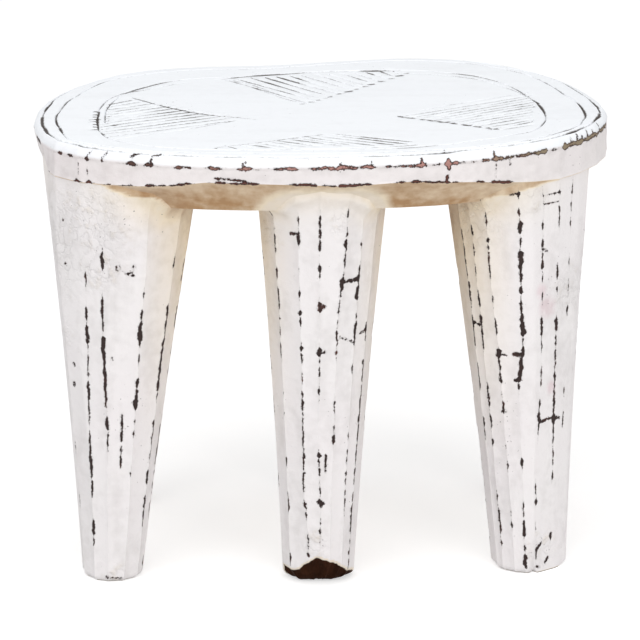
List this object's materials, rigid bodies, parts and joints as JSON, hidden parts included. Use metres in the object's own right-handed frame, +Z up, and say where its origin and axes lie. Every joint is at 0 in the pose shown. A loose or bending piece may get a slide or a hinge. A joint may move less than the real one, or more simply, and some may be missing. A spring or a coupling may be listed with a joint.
{
  "type": "carved wooden stool",
  "caption": "Low oval carved stool: a thick slab seat with an incised top on two rows of tapering faceted legs, painted white and worn.",
  "frame": {"origin": "middle of the stool's footprint, on the ground it stands on", "axes": "+X along the long way of the oval seat, +Y to the back of the pictured side, +Z up through the seat"},
  "size_m": [0.401, 0.2832, 0.313],
  "materials": {
    "seat_paint": "worn chalky white paint on dark wood",
    "leg_paint": "worn chalky white paint on dark wood"
  },
  "bodies": {
    "root": {"seat": "seat_paint", "leg_front_left": "leg_paint", "leg_front_centre": "leg_paint", "leg_front_right": "leg_paint", "leg_back_left": "leg_paint", "leg_back_centre": "leg_paint", "leg_back_right": "leg_paint"}
  },
  "joints": []
}
